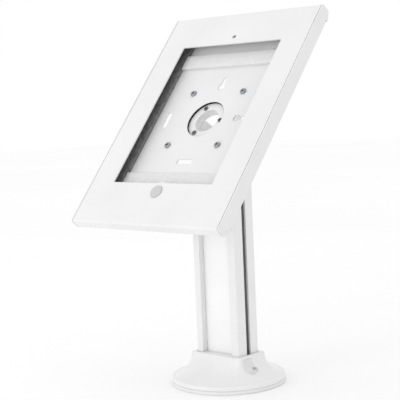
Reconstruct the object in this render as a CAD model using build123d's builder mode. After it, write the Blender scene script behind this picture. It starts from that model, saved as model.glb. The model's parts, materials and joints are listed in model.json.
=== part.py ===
"""Counter-top tablet kiosk: locking steel enclosure on a tilting, swivelling head,
an extruded column and a round bolt-down base with a flared shroud.

Millimetres.  +Z is up, the panel faces -Y, and the origin is at the centre of the base's underside.
"""
from build123d import *
import os
from math import cos, radians, sin

os.makedirs("parts", exist_ok=True)

# ---------------------------------------------------------------- driving dimensions
# Base
base_radius = 66.9
base_plate_thickness = 3.2
pad_thickness = 0.8
pad_edge_inset = 0.7
pad_bore_radius = 40.0
pad_hole_gap = 1.0
bolt_circle_radius = 50.0
bolt_hole_radius = 2.75
bolt_hole_count = 4
cable_hole_radius = 8.0

# Column extrusion
column_width = 64.0
column_depth = 36.7
column_length = 246.0
column_corner_radius = 3.0
front_channel_width = 43.4
front_channel_depth = 7.6
strip_thickness = 2.0
strip_groove_depth = 1.5
strip_clearance = 0.1
duct_width = 36.0
rear_wall = 2.5
side_slot_width = 7.0
side_slot_lip = 2.5
side_slot_cavity_width = 12.0
side_slot_cavity_depth = 6.0
port_radius = 2.5
port_inset_across = 5.0
port_inset_deep = 5.75

# Shroud over the base plate
shroud_radius = 66.2
shroud_height = 31.0
shroud_wall = 2.4
shroud_column_gap = 0.8
neck_wall = 4.5
neck_corner = 3.5
neck_rim_radius = 1.4
flare_steps = 6
flare_draft = 0.08
flare_setback = 2.7
flare_corner_setback = 2.5
lip_height = 5.0
lip_step = 0.4
lip_radius = 2.0
scoop_radius = 10.5
scoop_offset = -10.5
scoop_wall = 1.1
scoop_top_inset = 2.5
scoop_floor_height = 11.0
seam_chamfer = 0.7
set_screw_radius = 1.95
set_screw_rise = 15.4
set_screw_offset = -1.4
set_screw_engagement = 3.5
set_screw_socket_radius = 1.1
set_screw_socket_depth = 2.0
slot_nut_length = 14.0
slot_nut_gap = 0.5

# Column head and tilt joint
tilt_back = 40.0
cap_thickness = 4.0
head_slot_width = 22.0
head_slot_margin = 2.0
head_slot_corner = 3.0
pivot_rise = 24.9
pivot_behind_column = 11.4
pivot_depth = 60.3
ear_thickness = 5.0
ear_radius = 12.0
ear_foot_width = 28.0
ear_foot_setback = 1.0
arm_spacing = 24.0
arm_thickness = 4.0
arm_foot_width = 14.0
web_overlap = 1.0
tilt_bolt_radius = 4.0
hex_across_flats = 13.0
bolt_head_height = 5.5
bolt_end_length = 2.0
bolt_end_chamfer = 0.8
tilt_nut_height = 7.0
friction_washer_thickness = 0.8
friction_washer_inset = 1.0
washer_bore_gap = 0.1
disc_spring_thickness = 1.0
disc_spring_radius = 8.0
disc_spring_step = 0.5
disc_spring_bore_gap = 0.2
disc_spring_gap = 0.02
disc_spring_count = 2
spacer_radius = 6.5
running_gap = 0.05

# Screws
screw_head_radius = 4.8
column_screw_length = 20.0
hex_socket_radius = 1.6
hex_socket_depth = 1.5

# Enclosure
enclosure_width = 221.0
enclosure_height = 300.5
tray_sheet = 1.6
tray_inner_depth = 16.7
tray_bend_radius = 4.0
tray_bend_end = 12.25
tray_plate_end = 9.0
bend_relief = 0.9
wall_corner_radius = 2.0
wall_top_chamfer_run = 8.0
wall_top_chamfer_drop = 5.1
wall_top_inset = 0.6
wall_foot_step_run = 7.2
wall_foot_step_drop = 3.6
wall_foot_inset = 1.9
cover_sheet = 1.5
cover_flange_depth = 12.0
cover_bend_radius = 2.5
cover_side_gap = 0.8
window_width = 148.0
window_height = 198.0
window_rise = 3.3
window_corner = 0.8
camera_hole_radius = 2.75
camera_above_window = 10.7

# Hub behind the tray
hub_rise = 5.0
hub_opening_radius = 24.6
retainer_overlap = 2.2
hub_boss_wall = 6.5
hub_flange_lip = 8.0
hub_flange_thickness = 4.0
retainer_setback = 1.6
retainer_thickness = 2.2
retainer_rim_gap = 0.4
swivel_washer_thickness = 0.6
swivel_lip_thickness = 2.1
hub_screw_count = 3
hub_screw_inset = 2.2
hub_screw_radius = 1.2
hub_screw_head_radius = 2.8
hub_screw_head_height = 1.3
hub_screw_head_round = 0.5
hub_screw_gap = 0.2
hub_screw_engagement = 5.0
hub_screw_hole_spare = 0.5
hub_cross_length = 3.0
hub_cross_width = 0.8
hub_cross_depth = 0.9
rear_washer_inset = 0.5
grommet_wall = 0.3
grommet_setback = 0.35
grommet_depth = 2.2

# Monitor-mount plate
mount_plate_size = 90.0
mount_plate_corner = 6.0
mount_hole_spacing = 75.0
mount_screw_radius = 1.95
mount_screw_head_radius = 3.8
mount_screw_head_height = 2.4
mount_screw_head_round = 1.2
mount_screw_hole_gap = 0.25
mount_cross_length = 4.2
mount_cross_width = 1.0
mount_cross_depth = 1.4

# Wall-hanging cut-outs in the tray, placed about the hub
keyhole_head_radius = 4.75
keyhole_head_distance = 46.0
keyhole_slot_width = 4.5
keyhole_slot_end = 60.4
hang_slot_length = 21.5
hang_slot_width = 6.8
hang_slot_distance = 59.6
hang_slot_corner = 1.0

# Pads that bed the tablet
bed_lift = 4.0
pad_overhang = 1.5
top_pad_drop = 2.5
top_pad_height = 20.0
bottom_pad_rise = 2.7
bottom_pad_height = 20.1
strip_foam_width = 28.0
strip_foam_foot_gap = 18.25
strip_foam_top_gap = 13.25

# Home button in the cover
button_below_window = 11.3
button_radius = 7.7
button_hole_gap = 0.2
button_edge_round = 0.6
button_shoulder_gap = 0.3
button_proud = 1.2
button_travel = 1.2
button_flange_lip = 1.9
button_flange_thickness = 0.8
button_nub_radius = 3.0
button_nub_gap = 0.4
button_nub_end = 0.3
button_spare_travel = 0.3
spring_radius = 5.0
spring_wire = 0.4
spring_cone = -60
retainer_cup_gap = 1.4
retainer_cup_wall = 0.8
retainer_cup_flange = 2.2
retainer_cup_floor = 0.6

# Cover hinge pins and end tabs
pin_radius = 2.0
pin_rise = 6.75
pin_depth = 7.5
pin_head_lip = 1.3
pin_head_thickness = 1.0
pin_head_gap = 0.2
tab_gap = 1.0
tab_radius = 5.0

# Cam lock
lock_drop = 17.25
lock_barrel_wall = 2.0
lock_collar_lip = 3.0
lock_collar_length = 3.0
lock_plug_radius = 4.0
lock_plug_clearance = 0.05
lock_plug_proud = 0.3
lock_collar_chamfer = 1.0
key_slot_width = 1.2
key_slot_length = 5.6
key_slot_depth = 4.0
lock_nut_wall = 2.0
lock_nut_height = 2.5
lock_inside_length = 6.1
cam_thickness = 2.0
cam_reach = 14.0
cam_width = 9.0
cam_eye_radius = 5.4
cam_corner = 2.0
cam_screw_head_radius = 4.0
cam_screw_head_height = 2.0
cam_screw_head_round = 0.8
cam_cross_length = 4.0
cam_cross_width = 1.0
cam_cross_depth = 1.2
cam_shaft_radius = 3.0
catch_width = 40.0
catch_reach = 6.25
catch_gap = 0.3

# ---------------------------------------------------------------- derived places
plate_bottom = pad_thickness
plate_top = plate_bottom + base_plate_thickness
column_bottom = plate_top
column_top = column_bottom + column_length
cap_top = column_top + cap_thickness
half_width = column_width / 2
half_depth = column_depth / 2
strip_face_y = -half_depth + front_channel_depth
strip_back_y = strip_face_y + strip_thickness
duct_front_y = strip_back_y + strip_clearance
duct_rear_y = half_depth - rear_wall
port_x = half_width - port_inset_across
port_y = half_depth - port_inset_deep
pad_radius = base_radius - pad_edge_inset
screw_radius = port_radius - running_gap
port_places = [(side * port_x, end * port_y) for side in (-1, 1) for end in (-1, 1)]

shroud_top = plate_top + shroud_height
lip_top = plate_top + lip_height
flare_radius = shroud_radius - flare_setback
flare_corner = flare_radius - flare_corner_setback
neck_half_x = half_width + shroud_column_gap + neck_wall
neck_half_y = half_depth + shroud_column_gap + neck_wall
scoop_floor_x = half_width + shroud_column_gap + scoop_wall
scoop_top = shroud_top - scoop_top_inset
scoop_centre_height = plate_top + scoop_floor_height + scoop_radius
set_screw_height = plate_top + set_screw_rise
scoop_axis_x = scoop_floor_x + scoop_radius
set_screw_seat_x = scoop_axis_x - (scoop_radius**2 - (set_screw_offset - scoop_offset) ** 2) ** 0.5
slot_back_x = half_width - side_slot_lip - side_slot_cavity_depth
slot_nut_inner_x = slot_back_x + slot_nut_gap
slot_nut_thickness = side_slot_cavity_depth - slot_nut_gap - 2 * running_gap

lean = radians(tilt_back)
panel_normal = Vector(0, -cos(lean), sin(lean))
panel_up = Vector(0, sin(lean), cos(lean))
pivot = Vector(0, pivot_behind_column, cap_top + pivot_rise)
panel_origin = pivot + panel_normal * pivot_depth - panel_up * hub_rise
out_of_panel = Axis((0, 0, 0), tuple(panel_normal))

half_height = enclosure_height / 2
window_top = window_rise + window_height / 2
window_bottom = window_rise - window_height / 2
camera_rise = window_top + camera_above_window
button_rise = window_bottom - button_below_window
pad_half_width = window_width / 2 + pad_overhang
top_pad_high = window_top - top_pad_drop
top_pad_low = top_pad_high - top_pad_height
bottom_pad_low = window_bottom + bottom_pad_rise
bottom_pad_high = bottom_pad_low + bottom_pad_height
strip_foam_low = -half_height + strip_foam_foot_gap
strip_foam_high = half_height - strip_foam_top_gap
tray_half_width = enclosure_width / 2
wall_inner = tray_half_width - tray_sheet
cover_half_width = wall_inner - cover_side_gap
tray_depth = tray_inner_depth + tray_sheet
bend_half_length = half_height - tray_bend_end
plate_half_height = half_height - tray_plate_end
flange_inner = half_height - cover_sheet

retainer_face = tray_depth + retainer_setback
retainer_back = retainer_face + retainer_thickness
lip_front = retainer_back + swivel_washer_thickness + running_gap
lip_back = lip_front + swivel_lip_thickness
rear_washer_front = lip_back + running_gap
hub_flange_front = rear_washer_front + swivel_washer_thickness
hub_flange_back = hub_flange_front + hub_flange_thickness
retainer_radius = hub_opening_radius - retainer_rim_gap
hub_boss_radius = retainer_radius - retainer_overlap
hub_bore_radius = hub_boss_radius - hub_boss_wall
hub_flange_radius = hub_boss_radius + hub_flange_lip
hub_screw_circle = hub_boss_radius - hub_screw_inset

arm_inner = arm_spacing / 2
arm_outer = arm_inner + arm_thickness
ear_inner = arm_outer + friction_washer_thickness + 2 * running_gap
ear_outer = ear_inner + ear_thickness
nut_inner = ear_outer + disc_spring_count * disc_spring_thickness

button_flange_radius = button_radius + button_flange_lip
retainer_cup_radius = button_flange_radius + retainer_cup_gap + retainer_cup_wall
friction_washer_radius = ear_radius - friction_washer_inset
pin_head_radius = pin_radius + pin_head_lip
lock_barrel_radius = lock_plug_radius + lock_barrel_wall
lock_collar_radius = lock_barrel_radius + lock_collar_lip
lock_nut_across_flats = 2 * (lock_barrel_radius + lock_nut_wall)
pin_up = -half_height + pin_rise
tab_outer = wall_inner - tab_gap
tab_inner = tab_outer - cover_sheet
lock_up = half_height - lock_drop
lock_inside_end = tray_inner_depth - lock_inside_length
cam_back = lock_inside_end - catch_gap
cam_front = cam_back - cam_thickness
catch_front = cam_back + catch_gap


def behind(depth, up=0.0, across=0.0):
    """A plane parallel to the panel, this deep behind its face, moved up and across from its centre."""
    place = panel_origin - panel_normal * depth + panel_up * up + Vector(across, 0, 0)
    return Plane(origin=place, x_dir=(1, 0, 0), z_dir=panel_normal)


def beside(across, depth=0.0, up=0.0):
    """A plane across the panel's width: local x runs up the panel and local y out of its face."""
    place = panel_origin - panel_normal * depth + panel_up * up + Vector(across, 0, 0)
    return Plane(origin=place, x_dir=panel_up, z_dir=(1, 0, 0))


def level(height):
    """A horizontal plane at this height."""
    return Plane.XY.offset(height)


def facing(side, across):
    """A plane facing out of the column's left (-1) or right (1) side; local x runs along Y, local y up."""
    return Plane(origin=(side * across, 0, 0), x_dir=(0, side, 0), z_dir=(side, 0, 0))


def on_tilt_axis(across):
    """A plane square to the tilt axis: local x runs up and local y forward."""
    return Plane(origin=pivot + Vector(across, 0, 0), x_dir=(0, 0, 1), z_dir=(1, 0, 0))


def save(piece, name):
    """Label a finished piece and write it as a STEP file."""
    piece.part.label = name
    export_step(piece.part, f"parts/{name}.step")


# ---------------------------------------------------------------- base pad
with BuildPart() as base_pad:
    with BuildSketch():
        Circle(pad_radius)
        Circle(pad_bore_radius, mode=Mode.SUBTRACT)
        with PolarLocations(bolt_circle_radius, bolt_hole_count, start_angle=45):
            Circle(bolt_hole_radius + pad_hole_gap, mode=Mode.SUBTRACT)
    extrude(amount=pad_thickness)
save(base_pad, "base_pad")

# ---------------------------------------------------------------- base plate
with BuildPart() as base_plate:
    with BuildSketch(level(plate_bottom)):
        Circle(base_radius)
        Circle(cable_hole_radius, mode=Mode.SUBTRACT)
        with PolarLocations(bolt_circle_radius, bolt_hole_count, start_angle=45):
            Circle(bolt_hole_radius, mode=Mode.SUBTRACT)
    extrude(amount=base_plate_thickness)
    for x, y in port_places:
        with Locations(Plane(origin=(x, y, plate_bottom), z_dir=(0, 0, -1)).location):
            CounterSinkHole(port_radius, screw_head_radius, counter_sink_angle=90)
    chamfer(base_plate.faces().sort_by(Axis.Z)[-1].outer_wire().edges(), length=seam_chamfer)
save(base_plate, "base_plate")

# ---------------------------------------------------------------- column extrusion
with BuildPart() as column:
    with BuildSketch(level(column_bottom)):
        RectangleRounded(column_width, column_depth, column_corner_radius)
        with Locations((0, -half_depth)):
            Rectangle(front_channel_width, 2 * front_channel_depth, mode=Mode.SUBTRACT)
        with Locations((0, (strip_face_y + strip_back_y) / 2)):
            Rectangle(
                front_channel_width + 2 * strip_groove_depth,
                strip_thickness + 2 * strip_clearance,
                mode=Mode.SUBTRACT,
            )
        with Locations((0, (duct_front_y + duct_rear_y) / 2)):
            Rectangle(duct_width, duct_rear_y - duct_front_y, mode=Mode.SUBTRACT)
        for side in (-1, 1):
            with Locations((side * half_width, 0)):
                Rectangle(2 * (side_slot_lip + web_overlap), side_slot_width, mode=Mode.SUBTRACT)
            with Locations((side * (half_width - side_slot_lip - side_slot_cavity_depth / 2), 0)):
                Rectangle(side_slot_cavity_depth, side_slot_cavity_width, mode=Mode.SUBTRACT)
        with Locations(*port_places):
            Circle(port_radius, mode=Mode.SUBTRACT)
    extrude(amount=column_length)
save(column, "column")

# ---------------------------------------------------------------- cable strip over the front channel
with BuildPart() as column_strip:
    with BuildSketch(level(column_bottom)):
        with Locations((0, (strip_face_y + strip_back_y) / 2)):
            Rectangle(front_channel_width + 2 * (strip_groove_depth - strip_clearance), strip_thickness)
    extrude(amount=column_length)
save(column_strip, "column_strip")

# ---------------------------------------------------------------- screws from below into the column
with BuildPart() as column_screws:
    for x, y in port_places:
        with BuildSketch(level(plate_bottom)):
            with Locations((x, y)):
                Circle(screw_radius)
        extrude(amount=column_screw_length)
        with BuildSketch(level(plate_bottom)):
            with Locations((x, y)):
                Circle(screw_head_radius - running_gap)
        extrude(amount=screw_head_radius - screw_radius, taper=45)
        with BuildSketch(level(plate_bottom)):
            with Locations((x, y)):
                RegularPolygon(hex_socket_radius, 6)
        extrude(amount=hex_socket_depth, mode=Mode.SUBTRACT)
save(column_screws, "column_screws")

# ---------------------------------------------------------------- base shroud
with BuildPart() as base_shroud:
    # Flare: rounded rectangles at the neck that open into a circle at the lip
    for step in range(flare_steps + 1):
        fall = step / flare_steps
        share = flare_draft * fall + (1 - flare_draft) * fall**3
        reach_x = neck_half_x + share * (flare_radius - neck_half_x)
        reach_y = neck_half_y + share * (flare_radius - neck_half_y)
        corner = neck_corner + share * (flare_corner - neck_corner)
        with BuildSketch(level(shroud_top - fall * (shroud_top - lip_top))):
            RectangleRounded(2 * reach_x, 2 * reach_y, corner)
    loft()
    fillet(base_shroud.faces().sort_by(Axis.Z)[-1].edges(), radius=neck_rim_radius)
    # Lip: an upright rim around the foot of the flare
    with BuildSketch(level(plate_top)):
        Circle(shroud_radius)
    extrude(amount=lip_top - plate_top + lip_step)
    lip_edges = base_shroud.edges().filter_by(GeomType.CIRCLE).sort_by(SortBy.RADIUS)[-4:]
    fillet(lip_edges.sort_by(Axis.Z)[-1], radius=lip_radius)
    # Hollow under the flare
    with BuildSketch(level(plate_top)):
        Circle(shroud_radius - shroud_wall)
    extrude(amount=lip_top - plate_top - shroud_wall, mode=Mode.SUBTRACT)
    # Passage for the column, with a tongue that fills the column's front channel
    passage_front = -half_depth - shroud_column_gap
    with BuildSketch(level(plate_top)):
        RectangleRounded(
            column_width + 2 * shroud_column_gap,
            column_depth + 2 * shroud_column_gap,
            column_corner_radius + shroud_column_gap,
        )
        with Locations((0, passage_front)):
            Rectangle(
                front_channel_width - 2 * shroud_column_gap,
                2 * front_channel_depth,
                mode=Mode.SUBTRACT,
            )
    extrude(amount=shroud_height, mode=Mode.SUBTRACT)
    # A round-bottomed screw scoop in each side of the neck, and its screw hole
    for side in (-1, 1):
        with Locations((side * scoop_axis_x, scoop_offset, scoop_centre_height)):
            Sphere(scoop_radius, mode=Mode.SUBTRACT)
            Cylinder(
                scoop_radius,
                scoop_top - scoop_centre_height,
                align=(Align.CENTER, Align.CENTER, Align.MIN),
                mode=Mode.SUBTRACT,
            )
        with BuildSketch(facing(side, half_width)):
            with Locations((side * set_screw_offset, set_screw_height)):
                Circle(set_screw_radius + running_gap)
        extrude(amount=set_screw_seat_x - half_width + scoop_radius, mode=Mode.SUBTRACT)
    chamfer(base_shroud.faces().sort_by(Axis.Z)[0].outer_wire().edges(), length=seam_chamfer)
save(base_shroud, "base_shroud")

# ---------------------------------------------------------------- shroud screws and their slot nuts
with BuildPart() as shroud_screws:
    for side in (-1, 1):
        with BuildSketch(facing(side, slot_nut_inner_x + slot_nut_thickness - set_screw_engagement)):
            with Locations((side * set_screw_offset, set_screw_height)):
                Circle(set_screw_radius)
        extrude(amount=set_screw_seat_x - slot_nut_inner_x - slot_nut_thickness + set_screw_engagement)
        with BuildSketch(facing(side, set_screw_seat_x)):
            with Locations((side * set_screw_offset, set_screw_height)):
                RegularPolygon(set_screw_socket_radius, 6)
        extrude(amount=-set_screw_socket_depth, mode=Mode.SUBTRACT)
save(shroud_screws, "shroud_screws")

with BuildPart() as slot_nuts:
    for side in (-1, 1):
        with BuildSketch(facing(side, slot_nut_inner_x)):
            with Locations((0, set_screw_height)):
                Rectangle(side_slot_cavity_width - 2 * slot_nut_gap, slot_nut_length)
            with Locations((side * set_screw_offset, set_screw_height)):
                Circle(set_screw_radius + running_gap, mode=Mode.SUBTRACT)
        extrude(amount=slot_nut_thickness)
save(slot_nuts, "slot_nuts")

# ---------------------------------------------------------------- column head: cap and two ears
with BuildPart() as column_head:
    with BuildSketch(level(column_top)):
        RectangleRounded(column_width, column_depth, column_corner_radius)
        with Locations((0, (duct_front_y + duct_rear_y) / 2)):
            RectangleRounded(
                head_slot_width,
                duct_rear_y - duct_front_y - 2 * head_slot_margin,
                head_slot_corner,
                mode=Mode.SUBTRACT,
            )
    extrude(amount=cap_thickness)
    for x, y in port_places:
        with Locations(Plane(origin=(x, y, cap_top), z_dir=(0, 0, 1)).location):
            CounterSinkHole(port_radius, screw_head_radius, counter_sink_angle=90)
    for side in (-1, 1):
        with BuildSketch(on_tilt_axis(side * (ear_inner + ear_thickness / 2))):
            Circle(ear_radius)
            with Locations((-pivot_rise, pivot_behind_column - ear_foot_setback)):
                Rectangle(web_overlap, ear_foot_width)
            make_hull()
            Circle(tilt_bolt_radius + running_gap, mode=Mode.SUBTRACT)
        extrude(amount=ear_thickness / 2, both=True)
save(column_head, "column_head")

with BuildPart() as head_screws:
    for x, y in port_places:
        with BuildSketch(Plane(origin=(x, y, cap_top), x_dir=(1, 0, 0), z_dir=(0, 0, -1))):
            Circle(screw_radius)
        extrude(amount=column_screw_length)
        with BuildSketch(Plane(origin=(x, y, cap_top), x_dir=(1, 0, 0), z_dir=(0, 0, -1))):
            Circle(screw_head_radius - running_gap)
        extrude(amount=screw_head_radius - screw_radius, taper=45)
        with BuildSketch(Plane(origin=(x, y, cap_top), x_dir=(1, 0, 0), z_dir=(0, 0, -1))):
            RegularPolygon(hex_socket_radius, 6)
        extrude(amount=hex_socket_depth, mode=Mode.SUBTRACT)
save(head_screws, "head_screws")

# ---------------------------------------------------------------- tilt bolt, nut, springs and washers
with BuildPart() as tilt_bolt:
    with BuildSketch(on_tilt_axis(-ear_outer)):
        Circle(tilt_bolt_radius)
    extrude(amount=ear_outer + nut_inner + tilt_nut_height + bolt_end_length)
    with BuildSketch(on_tilt_axis(-ear_outer - bolt_head_height)):
        RegularPolygon(hex_across_flats / 2, 6, major_radius=False)
    extrude(amount=bolt_head_height)
    chamfer(tilt_bolt.faces().sort_by(Axis.X)[-1].edges(), length=bolt_end_chamfer)
save(tilt_bolt, "tilt_bolt")

with BuildPart() as tilt_nut:
    with BuildSketch(on_tilt_axis(nut_inner)):
        RegularPolygon(hex_across_flats / 2, 6, major_radius=False)
        Circle(tilt_bolt_radius, mode=Mode.SUBTRACT)
    extrude(amount=tilt_nut_height)
save(tilt_nut, "tilt_nut")

with BuildPart() as disc_springs:
    for index in range(disc_spring_count):
        with BuildSketch(on_tilt_axis(ear_outer + index * disc_spring_thickness)):
            Circle(disc_spring_radius - index * disc_spring_step)
            Circle(tilt_bolt_radius + disc_spring_bore_gap, mode=Mode.SUBTRACT)
        extrude(amount=disc_spring_thickness - disc_spring_gap)
save(disc_springs, "disc_springs")

with BuildPart() as tilt_friction_washers:
    for side in (-1, 1):
        middle = side * (arm_outer + running_gap + friction_washer_thickness / 2)
        with BuildSketch(on_tilt_axis(middle)):
            Circle(friction_washer_radius)
            Circle(tilt_bolt_radius + washer_bore_gap, mode=Mode.SUBTRACT)
        extrude(amount=friction_washer_thickness / 2, both=True)
save(tilt_friction_washers, "tilt_friction_washers")

with BuildPart() as tilt_spacer:
    with BuildSketch(on_tilt_axis(0)):
        Circle(spacer_radius)
        Circle(tilt_bolt_radius + running_gap, mode=Mode.SUBTRACT)
    extrude(amount=arm_inner, both=True)
save(tilt_spacer, "tilt_spacer")

# ---------------------------------------------------------------- tilt bracket: hub flange, boss and two arms
with BuildPart() as tilt_bracket:
    with BuildSketch(behind(hub_flange_back, hub_rise)):
        Circle(hub_flange_radius)
    extrude(amount=hub_flange_thickness)
    with BuildSketch(behind(hub_flange_front, hub_rise)):
        Circle(hub_boss_radius)
    extrude(amount=hub_flange_front - retainer_back)
    for side in (-1, 1):
        with BuildSketch(beside(side * (arm_inner + arm_thickness / 2), pivot_depth, hub_rise)):
            Circle(ear_radius)
            with Locations((0, pivot_depth - hub_flange_back)):
                Rectangle(arm_foot_width, web_overlap, align=(Align.CENTER, Align.MIN))
            make_hull()
            Circle(tilt_bolt_radius + running_gap, mode=Mode.SUBTRACT)
        extrude(amount=arm_thickness / 2, both=True)
    with BuildSketch(behind(hub_flange_back, hub_rise)):
        Circle(hub_bore_radius)
    extrude(amount=hub_flange_back - retainer_back, mode=Mode.SUBTRACT)
    with BuildSketch(behind(retainer_back, hub_rise)):
        with PolarLocations(hub_screw_circle, hub_screw_count):
            Circle(hub_screw_radius + running_gap)
    extrude(amount=-(hub_screw_engagement + hub_screw_hole_spare), mode=Mode.SUBTRACT)
save(tilt_bracket, "tilt_bracket")

# ---------------------------------------------------------------- swivel retainer, washers and screws
with BuildPart() as swivel_retainer:
    with BuildSketch(behind(retainer_back, hub_rise)):
        Circle(retainer_radius)
        Circle(hub_bore_radius, mode=Mode.SUBTRACT)
        with PolarLocations(hub_screw_circle, hub_screw_count):
            Circle(hub_screw_radius + hub_screw_gap, mode=Mode.SUBTRACT)
    extrude(amount=retainer_thickness)
save(swivel_retainer, "swivel_retainer")

with BuildPart() as swivel_front_washer:
    with BuildSketch(behind(retainer_back + swivel_washer_thickness, hub_rise)):
        Circle(retainer_radius)
        Circle(hub_boss_radius + washer_bore_gap, mode=Mode.SUBTRACT)
    extrude(amount=swivel_washer_thickness)
save(swivel_front_washer, "swivel_front_washer")

with BuildPart() as swivel_rear_washer:
    with BuildSketch(behind(hub_flange_front, hub_rise)):
        Circle(hub_flange_radius - rear_washer_inset)
        Circle(hub_boss_radius + washer_bore_gap, mode=Mode.SUBTRACT)
    extrude(amount=swivel_washer_thickness)
save(swivel_rear_washer, "swivel_rear_washer")

with BuildPart() as hub_screws:
    with BuildSketch(behind(retainer_face, hub_rise)):
        with PolarLocations(hub_screw_circle, hub_screw_count):
            Circle(hub_screw_radius)
    extrude(amount=-(retainer_thickness + hub_screw_engagement))
    with BuildSketch(behind(retainer_face, hub_rise)):
        with PolarLocations(hub_screw_circle, hub_screw_count):
            Circle(hub_screw_head_radius)
    extrude(amount=hub_screw_head_height)
    fillet(hub_screws.edges().group_by(out_of_panel)[-1], radius=hub_screw_head_round)
    with BuildSketch(behind(retainer_face - hub_screw_head_height, hub_rise)):
        with PolarLocations(hub_screw_circle, hub_screw_count):
            Rectangle(hub_cross_length, hub_cross_width)
            Rectangle(hub_cross_width, hub_cross_length)
    extrude(amount=-hub_cross_depth, mode=Mode.SUBTRACT)
save(hub_screws, "hub_screws")

# ---------------------------------------------------------------- monitor-mount plate
with BuildPart() as mount_plate:
    with BuildSketch(behind(lip_back, hub_rise)):
        RectangleRounded(mount_plate_size, mount_plate_size, mount_plate_corner)
    extrude(amount=lip_back - tray_depth)
    with BuildSketch(behind(tray_depth, hub_rise)):
        Circle(hub_opening_radius)
    extrude(amount=-(lip_front - tray_depth), mode=Mode.SUBTRACT)
    with BuildSketch(behind(tray_depth, hub_rise)):
        Circle(hub_boss_radius + running_gap)
    extrude(amount=-(lip_back - tray_depth), mode=Mode.SUBTRACT)
    with BuildSketch(behind(tray_depth, hub_rise)):
        with GridLocations(mount_hole_spacing, mount_hole_spacing, 2, 2):
            Circle(mount_screw_radius + running_gap)
    extrude(amount=-(lip_back - tray_depth), mode=Mode.SUBTRACT)
save(mount_plate, "mount_plate")

with BuildPart() as mount_screws:
    with BuildSketch(behind(tray_inner_depth, hub_rise)):
        with GridLocations(mount_hole_spacing, mount_hole_spacing, 2, 2):
            Circle(mount_screw_radius)
    extrude(amount=-(lip_back - tray_inner_depth))
    with BuildSketch(behind(tray_inner_depth, hub_rise)):
        with GridLocations(mount_hole_spacing, mount_hole_spacing, 2, 2):
            Circle(mount_screw_head_radius)
    extrude(amount=mount_screw_head_height)
    fillet(mount_screws.edges().group_by(out_of_panel)[-1], radius=mount_screw_head_round)
    with BuildSketch(behind(tray_inner_depth - mount_screw_head_height, hub_rise)):
        with GridLocations(mount_hole_spacing, mount_hole_spacing, 2, 2):
            Rectangle(mount_cross_length, mount_cross_width)
            Rectangle(mount_cross_width, mount_cross_length)
    extrude(amount=-mount_cross_depth, mode=Mode.SUBTRACT)
save(mount_screws, "mount_screws")

# ---------------------------------------------------------------- rear tray
with BuildPart() as rear_tray:
    # Back plate and side walls bent from one sheet
    section = Plane(origin=panel_origin, x_dir=(1, 0, 0), z_dir=panel_up)
    with BuildSketch(section) as bent_outline:
        Rectangle(enclosure_width, tray_depth, align=(Align.CENTER, Align.MIN))
        fillet(bent_outline.vertices().group_by(Axis.Y)[-1], radius=tray_bend_radius)
    extrude(amount=bend_half_length, both=True)
    with BuildSketch(section) as bent_hollow:
        Rectangle(2 * wall_inner, tray_inner_depth, align=(Align.CENTER, Align.MIN))
        fillet(bent_hollow.vertices().group_by(Axis.Y)[-1], radius=tray_bend_radius - tray_sheet)
    extrude(amount=bend_half_length, both=True, mode=Mode.SUBTRACT)
    with BuildSketch(behind(tray_depth)):
        Rectangle(enclosure_width - 2 * tray_bend_radius, 2 * plate_half_height)
    extrude(amount=tray_sheet)
    # Wall ends past the bend: a chamfered corner above and a stepped one below
    relief = bend_half_length + bend_relief
    bend_start = tray_depth - tray_bend_radius
    wall_top_depth = tray_depth - wall_top_inset
    wall_foot_depth = tray_depth - wall_foot_inset
    foot_step_up = -half_height + wall_foot_step_run
    for side in (-1, 1):
        with BuildSketch(beside(side * (tray_half_width - tray_sheet / 2))) as wall_blank:
            with BuildLine():
                Polyline(
                    (-half_height, 0),
                    (half_height, 0),
                    (half_height, wall_top_chamfer_drop - wall_top_depth),
                    (half_height - wall_top_chamfer_run, -wall_top_depth),
                    (relief, -wall_top_depth),
                    (relief, -bend_start),
                    (-relief, -bend_start),
                    (-relief, -wall_foot_depth),
                    (foot_step_up, -wall_foot_depth),
                    (foot_step_up, wall_foot_step_drop - wall_foot_depth),
                    (-half_height, wall_foot_step_drop - wall_foot_depth),
                    close=True,
                )
            make_face()
            fillet(wall_blank.vertices().group_by(Axis.Y)[-1], radius=wall_corner_radius)
        extrude(amount=tray_sheet / 2, both=True)
    # Hub opening, plate screw holes and the lock's hole
    with BuildSketch(behind(tray_depth, hub_rise)):
        Circle(hub_opening_radius)
        with GridLocations(mount_hole_spacing, mount_hole_spacing, 2, 2):
            Circle(mount_screw_radius + mount_screw_hole_gap)
        # Keyholes above and to the right, hanging slots below and to the left
        for turn in (0, 90):
            with Locations(Location((0, 0, 0), (0, 0, -turn))):
                with Locations((0, keyhole_head_distance)):
                    Circle(keyhole_head_radius)
                slot_run = keyhole_slot_end - keyhole_slot_width / 2 - keyhole_head_distance
                with Locations((0, keyhole_head_distance + slot_run / 2)):
                    SlotCenterToCenter(slot_run, keyhole_slot_width, rotation=90)
                with Locations((0, -hang_slot_distance)):
                    RectangleRounded(hang_slot_length, hang_slot_width, hang_slot_corner)
    extrude(amount=tray_sheet, mode=Mode.SUBTRACT)
    with BuildSketch(behind(tray_depth, lock_up)):
        Circle(lock_barrel_radius + running_gap)
    extrude(amount=tray_sheet, mode=Mode.SUBTRACT)
save(rear_tray, "rear_tray")

# ---------------------------------------------------------------- edge grommet in the hub opening
with BuildPart() as hub_grommet:
    with BuildSketch(behind(tray_inner_depth + grommet_setback, hub_rise)):
        Circle(hub_opening_radius)
        Circle(hub_opening_radius - grommet_wall, mode=Mode.SUBTRACT)
    extrude(amount=-grommet_depth)
save(hub_grommet, "hub_grommet")

# ---------------------------------------------------------------- pads and foam strips that bed the tablet
with BuildPart() as top_pad:
    with BuildSketch(behind(tray_inner_depth, (top_pad_low + top_pad_high) / 2)):
        Rectangle(2 * pad_half_width, top_pad_high - top_pad_low)
    extrude(amount=bed_lift)
save(top_pad, "top_pad")

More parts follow.
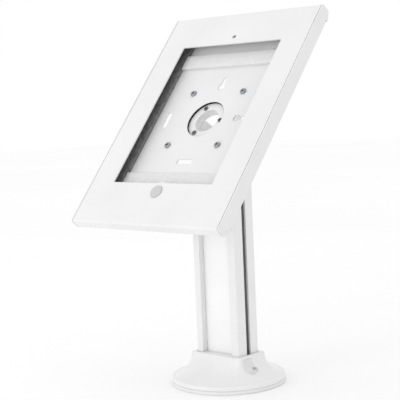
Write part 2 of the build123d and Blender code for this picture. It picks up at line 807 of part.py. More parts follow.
with BuildPart() as bottom_pad:
    with BuildSketch(behind(tray_inner_depth, (bottom_pad_low + bottom_pad_high) / 2)):
        Rectangle(2 * pad_half_width, bottom_pad_high - bottom_pad_low)
    extrude(amount=bed_lift)
save(bottom_pad, "bottom_pad")

for side, name in ((-1, "left_foam_strip"), (1, "right_foam_strip")):
    middle = side * (pad_half_width + strip_foam_width / 2)
    with BuildPart() as foam_strip:
        with BuildSketch(behind(tray_inner_depth, (strip_foam_low + strip_foam_high) / 2, middle)):
            Rectangle(strip_foam_width, strip_foam_high - strip_foam_low)
        extrude(amount=bed_lift)
    save(foam_strip, name)

# ---------------------------------------------------------------- front cover
with BuildPart() as front_cover:
    # Face with its top and bottom flanges bent back
    with BuildSketch(beside(0)) as cover_outline:
        Rectangle(enclosure_height, cover_flange_depth, align=(Align.CENTER, Align.MAX))
        fillet(cover_outline.vertices().group_by(Axis.Y)[-1], radius=cover_bend_radius)
    extrude(amount=cover_half_width, both=True)
    with BuildSketch(beside(0, cover_sheet)) as cover_hollow:
        Rectangle(2 * flange_inner, cover_flange_depth, align=(Align.CENTER, Align.MAX))
        fillet(cover_hollow.vertices().group_by(Axis.Y)[-1], radius=cover_bend_radius - cover_sheet)
    extrude(amount=cover_half_width, both=True, mode=Mode.SUBTRACT)
    # Screen window, camera hole and button hole
    with BuildSketch(behind(cover_sheet)):
        with Locations((0, window_rise)):
            RectangleRounded(window_width, window_height, window_corner)
        with Locations((0, camera_rise)):
            Circle(camera_hole_radius)
        with Locations((0, button_rise)):
            Circle(button_radius + button_hole_gap)
    extrude(amount=cover_sheet, mode=Mode.SUBTRACT)
    # Catch for the lock's cam, turned down from the top flange
    with BuildSketch(behind(cover_flange_depth, flange_inner)):
        Rectangle(catch_width, catch_reach, align=(Align.CENTER, Align.MAX))
    extrude(amount=cover_flange_depth - catch_front)
    # End tabs at the bottom flange that turn on the hinge pins
    for side in (-1, 1):
        with BuildSketch(beside(side * (tab_outer - cover_sheet / 2), pin_depth, pin_up)):
            Circle(tab_radius)
            tab_floor = -pin_rise + cover_sheet
            with Locations((tab_floor, pin_depth - cover_sheet)):
                Rectangle(
                    -tab_floor, cover_flange_depth - cover_sheet, align=(Align.MIN, Align.MAX)
                )
            Circle(pin_radius + running_gap, mode=Mode.SUBTRACT)
        extrude(amount=cover_sheet / 2, both=True)
save(front_cover, "front_cover")

# ---------------------------------------------------------------- headed studs the cover turns on
with BuildPart() as cover_hinge_pins:
    for side in (-1, 1):
        inner_end = tab_inner - pin_head_gap
        pin_length = wall_inner - inner_end
        with BuildSketch(beside(side * (inner_end + pin_length / 2), pin_depth, pin_up)):
            Circle(pin_radius)
        extrude(amount=pin_length / 2, both=True)
        with BuildSketch(beside(side * (inner_end - pin_head_thickness / 2), pin_depth, pin_up)):
            Circle(pin_head_radius)
        extrude(amount=pin_head_thickness / 2, both=True)
save(cover_hinge_pins, "cover_hinge_pins")

# ---------------------------------------------------------------- home button, its spring and its cup
button_shoulder = cover_sheet + button_shoulder_gap
button_flange_back = button_shoulder + button_flange_thickness
cup_floor_front = button_flange_back + button_travel + button_spare_travel
cup_floor_back = cup_floor_front + retainer_cup_floor

with BuildPart() as home_button:
    with BuildSketch(behind(button_shoulder, button_rise)):
        Circle(button_radius)
    extrude(amount=button_shoulder + button_proud)
    fillet(home_button.edges().group_by(out_of_panel)[-1], radius=button_edge_round)
    with BuildSketch(behind(button_flange_back, button_rise)):
        Circle(button_flange_radius)
    extrude(amount=button_flange_thickness)
    with BuildSketch(behind(cup_floor_front + button_nub_end, button_rise)):
        Circle(button_nub_radius)
    extrude(amount=cup_floor_front + button_nub_end - button_flange_back)
save(home_button, "home_button")

with BuildPart() as button_cup:
    with BuildSketch(behind(cup_floor_back, button_rise)):
        Circle(retainer_cup_radius)
    extrude(amount=cup_floor_back - cover_sheet)
    with BuildSketch(behind(cover_sheet + retainer_cup_floor, button_rise)):
        Circle(retainer_cup_radius + retainer_cup_flange)
    extrude(amount=retainer_cup_floor)
    with BuildSketch(behind(cup_floor_front, button_rise)):
        Circle(retainer_cup_radius - retainer_cup_wall)
    extrude(amount=cup_floor_front, mode=Mode.SUBTRACT)
    with BuildSketch(behind(cup_floor_back, button_rise)):
        Circle(button_nub_radius + button_nub_gap)
    extrude(amount=retainer_cup_floor, mode=Mode.SUBTRACT)
save(button_cup, "button_cup")

spring_rest = cup_floor_front - button_flange_back
with BuildPart() as button_spring:
    with BuildSketch(behind(cup_floor_front, button_rise)):
        Circle(spring_radius)
    extrude(amount=spring_rest, taper=spring_cone)
    with BuildSketch(behind(cup_floor_front, button_rise)):
        Circle(spring_radius - spring_wire)
    extrude(amount=spring_rest, taper=spring_cone, mode=Mode.SUBTRACT)
save(button_spring, "button_spring")

# ---------------------------------------------------------------- cam lock
collar_back = tray_depth + lock_collar_length
plug_back = collar_back + lock_plug_proud
with BuildPart() as lock_body:
    with BuildSketch(behind(collar_back, lock_up)):
        Circle(lock_collar_radius)
    extrude(amount=lock_collar_length)
    chamfer(lock_body.faces().sort_by(out_of_panel)[0].edges(), length=lock_collar_chamfer)
    with BuildSketch(behind(tray_depth, lock_up)):
        Circle(lock_barrel_radius)
    extrude(amount=tray_depth - lock_inside_end)
    with BuildSketch(behind(collar_back, lock_up)):
        Circle(lock_plug_radius + lock_plug_clearance)
    extrude(amount=collar_back - lock_inside_end, mode=Mode.SUBTRACT)
save(lock_body, "lock_body")

with BuildPart() as lock_nut:
    with BuildSketch(behind(tray_inner_depth, lock_up)):
        RegularPolygon(lock_nut_across_flats / 2, 6, major_radius=False)
        Circle(lock_barrel_radius + running_gap, mode=Mode.SUBTRACT)
    extrude(amount=lock_nut_height)
save(lock_nut, "lock_nut")

with BuildPart() as lock_plug:
    with BuildSketch(behind(plug_back, lock_up)):
        Circle(lock_plug_radius)
    extrude(amount=plug_back - cam_back)
    with BuildSketch(behind(cam_back, lock_up)):
        Circle(cam_shaft_radius)
    extrude(amount=cam_thickness)
    with BuildSketch(behind(plug_back, lock_up)):
        Rectangle(key_slot_width, key_slot_length)
    extrude(amount=key_slot_depth, mode=Mode.SUBTRACT)
save(lock_plug, "lock_plug")

with BuildPart() as lock_cam:
    with BuildSketch(behind(cam_back, lock_up)):
        Circle(cam_eye_radius)
        with Locations((cam_reach / 2, 0)):
            Rectangle(cam_reach, cam_width)
        Circle(cam_shaft_radius, mode=Mode.SUBTRACT)
    extrude(amount=cam_thickness)
    fillet(lock_cam.edges().filter_by(out_of_panel).sort_by(Axis.X)[-2:], radius=cam_corner)
save(lock_cam, "lock_cam")

with BuildPart() as cam_screw:
    with BuildSketch(behind(cam_front, lock_up)):
        Circle(cam_screw_head_radius)
    extrude(amount=cam_screw_head_height)
    fillet(cam_screw.edges().group_by(out_of_panel)[-1], radius=cam_screw_head_round)
    with BuildSketch(behind(cam_front - cam_screw_head_height, lock_up)):
        Rectangle(cam_cross_length, cam_cross_width)
        Rectangle(cam_cross_width, cam_cross_length)
    extrude(amount=-cam_cross_depth, mode=Mode.SUBTRACT)
save(cam_screw, "cam_screw")
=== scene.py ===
# %% [markdown]
# # A white counter-top tablet kiosk
# The frame below is the finished mechanical model: a round base, a slotted column, a tilting and
# swivelling head, and a locking steel enclosure.  Here it gets its finishes, its soft parts and a small
# photo studio.  Every length in this file is in metres, and values given in millimetres pass through mm().

# %% Load the frame
import json
import math

import bmesh
import bpy
from mathutils import Matrix, Vector


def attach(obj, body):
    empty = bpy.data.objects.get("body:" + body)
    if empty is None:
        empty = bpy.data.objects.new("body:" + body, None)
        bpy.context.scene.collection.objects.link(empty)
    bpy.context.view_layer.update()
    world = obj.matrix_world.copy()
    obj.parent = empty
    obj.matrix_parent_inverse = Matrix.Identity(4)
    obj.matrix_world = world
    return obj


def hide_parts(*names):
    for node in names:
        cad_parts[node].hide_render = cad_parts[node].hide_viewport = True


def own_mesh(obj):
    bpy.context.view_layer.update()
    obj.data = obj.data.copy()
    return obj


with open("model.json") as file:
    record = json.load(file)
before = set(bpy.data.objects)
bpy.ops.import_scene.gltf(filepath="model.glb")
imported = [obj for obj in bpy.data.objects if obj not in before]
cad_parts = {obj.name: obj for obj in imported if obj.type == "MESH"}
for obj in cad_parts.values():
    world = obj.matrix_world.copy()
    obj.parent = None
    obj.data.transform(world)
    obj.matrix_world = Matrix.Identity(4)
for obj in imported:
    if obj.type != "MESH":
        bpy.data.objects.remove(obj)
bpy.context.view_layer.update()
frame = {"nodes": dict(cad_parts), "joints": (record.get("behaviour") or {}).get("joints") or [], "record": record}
nodes = frame["nodes"]
scene = bpy.context.scene
print("CAD nodes:", len(nodes))


# %% [markdown]
# The enclosure leans back, so it is easiest to build on it in its own axes: u across, v up the panel and
# w out of its face.  The swivel joint already knows the way the panel faces, and the point it turns about
# lies on the hub's centre line at a known depth behind the face.

# %% The panel's own axes
def mm(length):
    """Millimetres as metres."""
    return length / 1000.0


HUB_RISE = mm(5.0)
SWIVEL_DEPTH = mm(22.0)

joints = {joint["name"]: joint for joint in frame["joints"]}
panel_out = Vector(joints["swivel"]["axis"]).normalized()
panel_across = Vector((1.0, 0.0, 0.0))
panel_up = panel_out.cross(panel_across)
panel_origin = Vector(joints["swivel"]["pos_m"]) + panel_out * SWIVEL_DEPTH - panel_up * HUB_RISE
panel_axes = Matrix((panel_across, panel_up, panel_out)).transposed().to_4x4()
PANEL = Matrix.Translation(panel_origin) @ panel_axes
print("panel centre, mm:", [round(value * 1000, 1) for value in panel_origin])


# %% [markdown]
# ## Helpers for materials
# Paint and plastic colours are easiest to name as the sRGB hex codes that a paint card or a screen shows,
# but shader sockets want linear light, so one function turns one into the other.  A second function adds
# any node with its settings and links and hands back one of its outputs, so a chain of nodes is written
# from the texture to the shader, each line naming what it feeds on.

# %% Colour and node helpers
def linear(hex_code):
    """An sRGB hex code as a linear RGBA colour."""
    channels = [int(hex_code[i:i + 2], 16) / 255.0 for i in (1, 3, 5)]
    curve = [c / 12.92 if c <= 0.04045 else ((c + 0.055) / 1.055) ** 2.4 for c in channels]
    return (*curve, 1.0)


def per_mm(size):
    """The Scale of a texture whose features are this many millimetres apart."""
    return 1000.0 / size


def add(material, kind, output=0, inputs=None, **settings):
    """Add a node, set and link its inputs by name or number, and return one of its outputs."""
    tree = material.node_tree
    node = tree.nodes.new(kind)
    for name, value in settings.items():
        setattr(node, name, value)
    for name, value in (inputs or {}).items():
        if isinstance(value, bpy.types.NodeSocket):
            tree.links.new(value, node.inputs[name])
        else:
            node.inputs[name].default_value = value
    return node.outputs[output] if node.outputs else None


def new_material(name):
    """An empty node material and the object coordinates that its patterns read."""
    material = bpy.data.materials.new(name)
    material.use_nodes = True
    material.node_tree.nodes.clear()
    return material, add(material, "ShaderNodeTexCoord", "Object")


print("grain of 0.5 mm is scale", per_mm(0.5))

# %% [markdown]
# A noise texture mostly stays between 0.35 and 0.65, so each one that tints a surface or changes its gloss
# is stretched from that band to the two values it should reach.

# %% The band a noise covers
NOISE_BAND = {"From Min": 0.35, "From Max": 0.65}
COLOUR_OUT = 2
MIX_FACTOR, MIX_FIRST, MIX_SECOND = 0, 6, 7
print("noise band:", NOISE_BAND)


# %% [markdown]
# ## Powder coat on steel
# The enclosure, base plate and brackets are folded or turned steel with a satin polyester powder coat.
# Powder melts as it cures and rounds every cut edge a little, and it leaves a faint orange peel about a
# millimetre across.  The Bevel node gives the rounded edge, so that each fold and cut-out catches a thin
# line of light, and two noises give the peel and its fine grain.

# %% Powder-coated steel
def coat_tone(material, place, light, dark, size):
    """A coat's colour, drifting slowly between two close tones."""
    pattern = {"Vector": place, "Scale": per_mm(size), "Detail": 3.0}
    cloud = add(material, "ShaderNodeTexNoise", inputs=pattern)
    share = add(material, "ShaderNodeMapRange", inputs={"Value": cloud, **NOISE_BAND})
    tones = {MIX_FACTOR: share, MIX_FIRST: linear(dark), MIX_SECOND: linear(light)}
    return add(material, "ShaderNodeMix", COLOUR_OUT, tones, data_type="RGBA")


def coat_gloss(material, place, smooth, rough, size):
    """A coat's roughness, a little uneven."""
    pattern = {"Vector": place, "Scale": per_mm(size), "Detail": 4.0}
    cloud = add(material, "ShaderNodeTexNoise", inputs=pattern)
    reach = {"Value": cloud, "To Min": smooth, "To Max": rough, **NOISE_BAND}
    return add(material, "ShaderNodeMapRange", inputs=reach)


def coat_relief(material, place, edge_mm, peel_mm, peel_depth_mm, grain_mm, grain_depth_mm):
    """A coat's surface: rounded edges, then orange peel, then a fine grain."""
    edge = add(material, "ShaderNodeBevel", inputs={"Radius": mm(edge_mm)}, samples=6)
    peel = add(material, "ShaderNodeTexNoise", inputs={"Vector": place, "Scale": per_mm(peel_mm)})
    waved = {"Height": peel, "Distance": mm(peel_depth_mm), "Strength": 0.35, "Normal": edge}
    surface = add(material, "ShaderNodeBump", inputs=waved)
    pattern = {"Vector": place, "Scale": per_mm(grain_mm), "Detail": 1.0}
    grain = add(material, "ShaderNodeTexNoise", inputs=pattern)
    grained = {"Height": grain, "Distance": mm(grain_depth_mm), "Strength": 0.3, "Normal": surface}
    return add(material, "ShaderNodeBump", inputs=grained)


def coated_steel():
    """Satin white polyester powder over steel: soft highlights, no metal showing."""
    material, place = new_material("powder_coated_steel")
    shader = add(material, "ShaderNodeBsdfPrincipled", inputs={
        "Base Color": coat_tone(material, place, "#E7E7E7", "#E3E3E3", 70.0),
        "Roughness": coat_gloss(material, place, 0.36, 0.46, 9.0),
        "Normal": coat_relief(material, place, 0.25, 1.4, 0.03, 0.45, 0.012),
        "IOR": 1.5,
    })
    add(material, "ShaderNodeOutputMaterial", inputs={"Surface": shader})
    return material


powder_coated_steel = coated_steel()
print(powder_coated_steel.name, "nodes:", len(powder_coated_steel.node_tree.nodes))


# %% [markdown]
# ## Powder coat on an extrusion
# The column is extruded aluminium in the same white.  The walls of the narrow T-slots and the duct are
# coloured a darker grey: painted shade, standing in for the shade inside them.  A box test on the
# object coordinates finds those walls.  The die also leaves very faint lines along the column, so one
# noise is stretched a hundred times along Z before it makes a bump.

# %% Powder-coated extruded aluminium
SLOT_REACH = mm(29.7)
SLOT_HALF_WIDTH = mm(6.2)


def painted_slot_shade(material, place):
    """1 on the walls of the T-slots and the duct, where shade is painted, 0 on the column's outside."""
    across = add(material, "ShaderNodeSeparateXYZ", "X", {"Vector": place})
    deep = add(material, "ShaderNodeSeparateXYZ", "Y", {"Vector": place})
    across = add(material, "ShaderNodeMath", inputs={0: across}, operation="ABSOLUTE")
    deep = add(material, "ShaderNodeMath", inputs={0: deep}, operation="ABSOLUTE")
    across = add(material, "ShaderNodeMath", inputs={0: across, 1: SLOT_REACH}, operation="LESS_THAN")
    deep = add(material, "ShaderNodeMath", inputs={0: deep, 1: SLOT_HALF_WIDTH}, operation="LESS_THAN")
    return add(material, "ShaderNodeMath", inputs={0: across, 1: deep}, operation="MULTIPLY")


def coated_extrusion():
    """White powder over extruded aluminium, with painted shade on the walls inside its slots."""
    material, place = new_material("powder_coated_extrusion")
    slot_shade = painted_slot_shade(material, place)
    tones = {
        MIX_FACTOR: slot_shade,
        MIX_FIRST: coat_tone(material, place, "#E8E8E8", "#E4E4E4", 70.0),
        # painted shade: the slot walls are coloured a darker grey
        MIX_SECOND: linear("#A2A3A5"),
    }
    stretched = add(material, "ShaderNodeMapping", inputs={"Vector": place, "Scale": (1.0, 1.0, 0.01)})
    pattern = {"Vector": stretched, "Scale": per_mm(0.9), "Detail": 1.0}
    lines = add(material, "ShaderNodeTexNoise", inputs=pattern)
    relief = coat_relief(material, place, 0.3, 1.8, 0.02, 0.45, 0.012)
    drawn = {"Height": lines, "Distance": mm(0.01), "Strength": 0.3, "Normal": relief}
    shader = add(material, "ShaderNodeBsdfPrincipled", inputs={
        "Base Color": add(material, "ShaderNodeMix", COLOUR_OUT, tones, data_type="RGBA"),
        "Roughness": coat_gloss(material, place, 0.36, 0.46, 9.0),
        "Normal": add(material, "ShaderNodeBump", inputs=drawn),
        "IOR": 1.5,
    })
    add(material, "ShaderNodeOutputMaterial", inputs={"Surface": shader})
    return material


powder_coated_extrusion = coated_extrusion()
print(powder_coated_extrusion.name, "nodes:", len(powder_coated_extrusion.node_tree.nodes))


# %% [markdown]
# ## Moulded plastic
# The flared shroud, the strip up the column and the button are moulded ABS with a lightly sparked
# surface: no orange peel, only a very fine even grain, and edges with the small radius of the mould.
# The shroud is the shiniest, because its mould was polished to draw it off the core.

# %% Moulded plastics
def moulded_plastic(name, light, dark, smooth, grain_mm=0.5, grain_depth_mm=0.012, edge_mm=0.5):
    """Moulded plastic with a fine spark-eroded grain."""
    material, place = new_material(name)
    shader = add(material, "ShaderNodeBsdfPrincipled", inputs={
        "Base Color": coat_tone(material, place, light, dark, 45.0),
        "Roughness": coat_gloss(material, place, smooth, smooth + 0.08, 14.0),
        "Normal": coat_relief(material, place, edge_mm, 6.0, 0.02, grain_mm, grain_depth_mm),
        "IOR": 1.53,
    })
    add(material, "ShaderNodeOutputMaterial", inputs={"Surface": shader})
    return material


moulded_white_abs = moulded_plastic("moulded_white_abs", "#EAEAEA", "#E6E6E6", 0.28)
# partly painted light: the strip is its own white plastic, and part of its lighter tone stands in for the front
# lamp's light on the column's face
strip_white_abs_painted_light = moulded_plastic("extruded_white_abs_painted_light", "#F4F4F4", "#F1F1F1", 0.40)
moulded_grey_abs = moulded_plastic("moulded_grey_abs", "#CDCDCD", "#C5C5C5", 0.42, edge_mm=0.4)
moulded_nylon = moulded_plastic("moulded_nylon", "#E2E0D6", "#D9D7CC", 0.48, grain_depth_mm=0.02)
print("plastics:", moulded_white_abs.name, moulded_grey_abs.name, moulded_nylon.name)


# %% [markdown]
# ## Bare metal
# The bolt, nut, washers and hinge studs are zinc-plated steel: a cold grey with soft crystal-like
# mottling and fine turning marks.  The screws on the tray are darker, because their zinc is passivated.
# The lock's face is bright chrome over a zinc die casting, smoother and lighter, with faint wiping marks.

# %% Zinc plate and chrome
def plated_metal(name, light, dark, smooth, rough, mottle_mm, mark_depth_mm):
    """Plated metal: mottled colour, uneven gloss and fine scratches."""
    material, place = new_material(name)
    edge = add(material, "ShaderNodeBevel", inputs={"Radius": mm(0.2)}, samples=4)
    drawn = add(material, "ShaderNodeMapping", inputs={"Vector": place, "Scale": (1.0, 0.08, 1.0)})
    pattern = {"Vector": drawn, "Scale": per_mm(0.25), "Detail": 1.0}
    marks = add(material, "ShaderNodeTexNoise", inputs=pattern)
    cut = {"Height": marks, "Distance": mm(mark_depth_mm), "Strength": 0.5, "Normal": edge}
    shader = add(material, "ShaderNodeBsdfPrincipled", inputs={
        "Base Color": coat_tone(material, place, light, dark, mottle_mm),
        "Roughness": coat_gloss(material, place, smooth, rough, mottle_mm),
        "Normal": add(material, "ShaderNodeBump", inputs=cut),
        "Metallic": 1.0,
    })
    add(material, "ShaderNodeOutputMaterial", inputs={"Surface": shader})
    return material


zinc_plated_steel = plated_metal("zinc_plated_steel", "#C3C5C7", "#A9ABAE", 0.26, 0.40, 1.6, 0.006)
passivated_steel = plated_metal("passivated_zinc_steel", "#B6B7B9", "#96979A", 0.28, 0.42, 1.2, 0.006)
blackened_steel = plated_metal("black_zinc_steel", "#868789", "#68696B", 0.28, 0.42, 1.0, 0.006)
chrome_plated_zinc = plated_metal("chrome_plated_zinc", "#E4E5E7", "#D8D9DC", 0.08, 0.16, 3.0, 0.002)
print("metals:", zinc_plated_steel.name, passivated_steel.name, blackened_steel.name, chrome_plated_zinc.name)


# %% [markdown]
# ## Foam and rubber
# The dark strips are closed-cell EVA foam cut from a sheet.  Its cut face shows cells about half a
# millimetre across, so a Voronoi texture gives the pits and a noise the uneven tone.  The light pads are
# cross-linked polyethylene foam with a smooth skin, so its cells only just show.  The trim round the
# hub hole is coloured near-black: painted shade, standing in for the shade in the gap at the hole's edge.

# %% Foam and rubber
def foam(name, light, dark, cell_mm, pit_depth_mm, dent_depth_mm, roughness):
    """Closed-cell foam: small pits, soft dents and an uneven tone."""
    material, place = new_material(name)
    cells = add(material, "ShaderNodeTexVoronoi", "Distance", {"Vector": place, "Scale": per_mm(cell_mm)})
    pitted = {"Height": cells, "Distance": mm(pit_depth_mm), "Strength": 0.6}
    pits = add(material, "ShaderNodeBump", inputs=pitted)
    dents = add(material, "ShaderNodeTexNoise", inputs={"Vector": place, "Scale": per_mm(2.5), "Detail": 3.0})
    dented = {"Height": dents, "Distance": mm(dent_depth_mm), "Strength": 0.35, "Normal": pits}
    shader = add(material, "ShaderNodeBsdfPrincipled", inputs={
        "Base Color": coat_tone(material, place, light, dark, 5.0),
        "Normal": add(material, "ShaderNodeBump", inputs=dented),
        "Roughness": roughness,
        "IOR": 1.45,
        "Specular IOR Level": 0.3,
    })
    add(material, "ShaderNodeOutputMaterial", inputs={"Surface": shader})
    return material


eva_foam = foam("eva_foam_dark_grey", "#868686", "#6C6C6C", 0.6, 0.10, 0.08, 0.85)
polyethylene_foam = foam("polyethylene_foam_light_grey", "#E2E2E2", "#DDDDDD", 0.5, 0.01, 0.02, 0.65)
# painted shade: the near-black trim in the hub hole stands in for the shade in the gap there
black_rubber = foam("black_rubber_painted_shade", "#1D1D1D", "#141414", 0.8, 0.02, 0.02, 0.60)
print("soft:", eva_foam.name, polyethylene_foam.name, black_rubber.name)


# %% [markdown]
# ## Finishes on the CAD parts
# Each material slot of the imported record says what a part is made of, so one table sends every part to
# its finish, and a second names the three parts whose finish differs from the rest of their slot.

# %% Give every CAD part its finish
FINISHES = {
    "white_coat": powder_coated_steel,
    "white_extrusion": powder_coated_extrusion,
    "white_plastic": moulded_white_abs,
    "button_plastic": moulded_grey_abs,
    "nylon": moulded_nylon,
    "dark_foam": eva_foam,
    "light_foam": polyethylene_foam,
    "black_rubber": black_rubber,
    # painted shade: the near-black trim in the hub hole
    "zinc_steel": zinc_plated_steel,
    "lock_chrome": chrome_plated_zinc,
}

OWN_FINISHES = {
    "mount_screws": passivated_steel,
    "hub_screws": blackened_steel,
    "column_strip": strip_white_abs_painted_light,
}

for part in frame["record"]["subparts"]:
    cad_part = nodes[part["node"]]
    finish = OWN_FINISHES.get(part["node"], FINISHES[part["material_slot"]])
    cad_part.data.materials.clear()
    cad_part.data.materials.append(finish)


# %% [markdown]
# ## A helper for new pieces
# A new piece is shaped in a bmesh in its own simple axes, moved once to its place by a matrix, and then
# turned into an object that sits at the world's origin.  Smooth shading goes on here too, with real
# creases kept sharp.

# %% Make a piece
def make_piece(name, shape, place, material, body, crease=40.0):
    """Turn a bmesh into a finished object in place, riding on a body."""
    bmesh.ops.transform(shape, matrix=place, verts=shape.verts)
    bmesh.ops.recalc_face_normals(shape, faces=shape.faces)
    for face in shape.faces:
        face.smooth = True
    for edge in shape.edges:
        if len(edge.link_faces) == 2 and edge.calc_face_angle() > math.radians(crease):
            edge.smooth = False
    mesh = bpy.data.meshes.new(name)
    shape.to_mesh(mesh)
    shape.free()
    mesh.materials.append(material)
    piece = bpy.data.objects.new(name, mesh)
    scene.collection.objects.link(piece)
    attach(piece, body)
    print(name, "faces:", len(mesh.polygons))
    return piece


# %% [markdown]
# ## Foam strips and pads
# The tablet beds on two dark foam strips up the sides and two light pads across the top and bottom.
# They are knife-cut from sheet, so they have square corners in plan, a soft rolled edge at the face and
# a surface that is not quite flat.  A slab with a bevelled rim, cut into a grid and nudged down by a slow
# product of sines, gives that without any simulation.

# %% Cut foam slabs
BED_DEPTH = mm(16.7)
BED_LIFT = mm(4.0)
FOAM_EDGE = mm(0.7)
FOAM_WAVE = mm(0.12)
GRID = mm(6.0)
WAVE_ACROSS, WAVE_UP, WAVE_BEND = 190.0, 121.0, 83.0
WAVE_SHIFT = 2.1


def foam_slab(across_low, across_high, up_low, up_high, edge):
    """A slab on the tray's floor, in panel axes, with a rolled edge and a gently uneven face."""
    shape = bmesh.new()
    size = Vector((across_high - across_low, up_high - up_low, BED_LIFT))
    centre = Vector(((across_low + across_high) / 2, (up_low + up_high) / 2, BED_LIFT / 2 - BED_DEPTH))
    bmesh.ops.create_cube(shape, size=1.0)
    bmesh.ops.scale(shape, vec=size, verts=shape.verts)
    rim = [e for e in shape.edges if all(v.co.z > 0 for v in e.verts)]
    corners = [e for e in shape.edges if abs(e.verts[0].co.z - e.verts[1].co.z) > BED_LIFT / 2]
    bmesh.ops.bevel(
        shape, geom=rim + corners, offset=edge, offset_type="OFFSET", segments=3, profile=0.5,
        affect="EDGES", material=-1, clamp_overlap=True,
    )
    for axis in (0, 1):
        for step in range(1, int(size[axis] / GRID)):
            plane = Vector((0.0, 0.0, 0.0))
            plane[axis] = -size[axis] / 2 + step * GRID
            normal = Vector((1.0 if axis == 0 else 0.0, 1.0 if axis == 1 else 0.0, 0.0))
            geometry = shape.verts[:] + shape.edges[:] + shape.faces[:]
            bmesh.ops.bisect_plane(shape, geom=geometry, plane_co=plane, plane_no=normal)
    for vertex in shape.verts:
        if vertex.co.z > 0:
            phase = vertex.co.x * WAVE_ACROSS + math.sin(vertex.co.y * WAVE_BEND) * WAVE_SHIFT
            sway = math.sin(phase) * math.sin(vertex.co.y * WAVE_UP)
            vertex.co.z -= FOAM_WAVE * (0.5 + 0.5 * sway)
    bmesh.ops.translate(shape, vec=centre, verts=shape.verts)
    return shape


PAD_HALF = mm(75.5)
STRIP_WIDTH = mm(28.0)
STRIP_LOW, STRIP_HIGH = mm(-132.0), mm(137.0)
TOP_PAD_LOW, TOP_PAD_HIGH = mm(79.8), mm(99.8)
BOTTOM_PAD_LOW, BOTTOM_PAD_HIGH = mm(-93.0), mm(-72.9)

for name, side in (("left_foam_strip", -1), ("right_foam_strip", 1)):
    inner, outer = side * PAD_HALF, side * (PAD_HALF + STRIP_WIDTH)
    slab = foam_slab(min(inner, outer), max(inner, outer), STRIP_LOW, STRIP_HIGH, FOAM_EDGE)
    strip = make_piece(f"{name}_cut", slab, PANEL, eva_foam, "tray")
    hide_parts(name)

for name, low, high in (
    ("top_pad", TOP_PAD_LOW, TOP_PAD_HIGH),
    ("bottom_pad", BOTTOM_PAD_LOW, BOTTOM_PAD_HIGH),
):
    slab = foam_slab(-PAD_HALF, PAD_HALF, low, high, FOAM_EDGE)
    pad = make_piece(f"{name}_cut", slab, PANEL, polyethylene_foam, "tray")
    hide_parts(name)


# %% [markdown]
# ## The button's spring
# Behind the home button a small conical coil spring pushes it back out.  The mechanical model holds its
# room as a plain cone.  A round wire spun about the spring's axis with a screw motion is the real thing:
# bmesh's spin can turn and travel at once, and the cone comes from easing each ring outwards afterwards.
# Each turn is wider than the last by more than the wire, so the turns nest when the button is pressed, and
# the spring is then about one wire thick.

# %% Conical coil spring
BUTTON_RISE = mm(-107.0)
SPRING_FRONT_DEPTH = mm(2.62)
SPRING_BACK_DEPTH = mm(4.08)
SPRING_WIRE = mm(0.12)
SPRING_SMALL, SPRING_LARGE = mm(4.8), mm(8.2)
SPRING_TURNS = 3
SPRING_STEPS = 40
WIRE_SIDES = 8


def coil_spring():
    """A conical coil spring about the panel's w axis, its wide end at the front."""
    shape = bmesh.new()
    travel = SPRING_BACK_DEPTH - SPRING_FRONT_DEPTH - 2 * SPRING_WIRE
    bmesh.ops.create_circle(shape, segments=WIRE_SIDES, radius=SPRING_WIRE, cap_ends=True)
    upright = Matrix.Rotation(math.pi / 2, 4, "X")
    start = Matrix.Translation(Vector((SPRING_SMALL, 0.0, -SPRING_BACK_DEPTH + SPRING_WIRE)))
    bmesh.ops.transform(shape, matrix=start @ upright, verts=shape.verts)
    steps = SPRING_TURNS * SPRING_STEPS
    bmesh.ops.spin(
        shape, geom=shape.verts[:] + shape.edges[:] + shape.faces[:], cent=(0, 0, 0), axis=(0, 0, 1),
        dvec=(0, 0, travel / steps), angle=SPRING_TURNS * 2 * math.pi, steps=steps, use_merge=False,
        use_duplicate=False,
    )
    low = -SPRING_BACK_DEPTH + SPRING_WIRE
    for vertex in shape.verts:
        rise = min(max((vertex.co.z - low) / travel, 0.0), 1.0)
        reach = math.hypot(vertex.co.x, vertex.co.y)
        grown = (reach + rise * (SPRING_LARGE - SPRING_SMALL)) / reach
        vertex.co.x *= grown
        vertex.co.y *= grown
    bmesh.ops.translate(shape, vec=(0.0, BUTTON_RISE, 0.0), verts=shape.verts)
    return shape


spring = make_piece("button_coil_spring", coil_spring(), PANEL, zinc_plated_steel, "cover")
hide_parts("button_spring")
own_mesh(spring)


# %% [markdown]
# ## The camera
# The kiosk is seen from its right and a little above, with a long lens, so that the column stays almost
# parallel.  The camera looks at a point near the head and is rolled a touch.

# %% Camera
AIM = Vector((-0.0293, -0.0046, 0.2121))
CAMERA_AZIMUTH = math.radians(42.11)
CAMERA_HEIGHT = math.radians(5.19)
CAMERA_DISTANCE = 1.25
CAMERA_ROLL = math.radians(-2.497)
CAMERA_LENS = 96.07

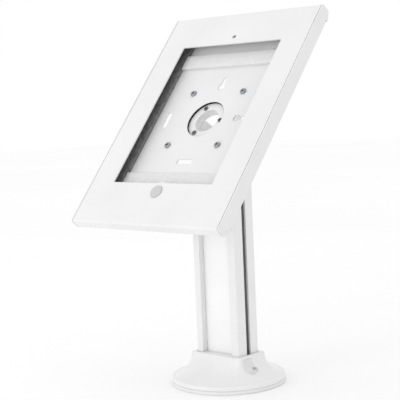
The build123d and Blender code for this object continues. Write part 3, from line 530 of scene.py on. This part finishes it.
lens = bpy.data.cameras.new("studio_camera")
lens.lens = CAMERA_LENS
lens.sensor_width = 36.0
lens.clip_start = 0.05
camera = bpy.data.objects.new("studio_camera", lens)
scene.collection.objects.link(camera)
offset = Vector((
    math.sin(CAMERA_AZIMUTH) * math.cos(CAMERA_HEIGHT),
    -math.cos(CAMERA_AZIMUTH) * math.cos(CAMERA_HEIGHT),
    math.sin(CAMERA_HEIGHT),
))
camera.location = AIM + offset * CAMERA_DISTANCE
level = (-offset).to_track_quat("-Z", "Y").to_matrix().to_4x4()
camera.matrix_world = Matrix.Translation(camera.location) @ level @ Matrix.Rotation(CAMERA_ROLL, 4, "Z")
scene.camera = camera
print("camera at, mm:", [round(value * 1000) for value in camera.location])


# %% [markdown]
# ## The studio
# White on white needs soft light from everywhere, or the object turns grey: the world is a bright white
# tent, the floor throws light back up under the enclosure, and one large soft lamp from the front left
# makes the faces that look forwards a shade brighter than the sides.

# %% Floor, tent and lamp
FLOOR_HALF = 6.0
LAMP_PLACE = Vector((-0.5, -2.2, 0.45))
LAMP_AIM = Vector((0.0, 0.0, 0.25))
LAMP_SIZE = 0.9
LAMP_POWER = 8.0
TENT_STRENGTH = 1.0


def studio_floor():
    """A wide pale floor, matte and slightly uneven in tone."""
    material, place = new_material("pale_floor")
    shader = add(material, "ShaderNodeBsdfPrincipled", inputs={
        "Base Color": coat_tone(material, place, "#FEFEFE", "#FCFCFC", 900.0),
        "Roughness": 0.95,
        "Specular IOR Level": 0.0,
    })
    add(material, "ShaderNodeOutputMaterial", inputs={"Surface": shader})
    shape = bmesh.new()
    bmesh.ops.create_grid(shape, x_segments=4, y_segments=4, size=FLOOR_HALF)
    mesh = bpy.data.meshes.new("studio_floor")
    shape.to_mesh(mesh)
    shape.free()
    mesh.materials.append(material)
    floor = bpy.data.objects.new("studio_floor", mesh)
    scene.collection.objects.link(floor)


def soft_lamp(name, place, aim, size, power):
    """A large square lamp that faces a point."""
    light = bpy.data.lights.new(name, "AREA")
    light.size = size
    light.energy = power
    lamp = bpy.data.objects.new(name, light)
    lamp.location = place
    lamp.rotation_euler = (aim - place).to_track_quat("-Z", "Y").to_euler()
    scene.collection.objects.link(lamp)


studio_floor()
soft_lamp("front_left_lamp", LAMP_PLACE, LAMP_AIM, LAMP_SIZE, LAMP_POWER)

world = bpy.data.worlds.new("white_tent")
world.use_nodes = True
tent = world.node_tree.nodes["Background"]
tent.inputs["Color"].default_value = linear("#FFFFFF")
tent.inputs["Strength"].default_value = TENT_STRENGTH
scene.world = world
scene.view_settings.view_transform = "Standard"
print("tent strength:", TENT_STRENGTH, "lamps:", len(bpy.data.lights))
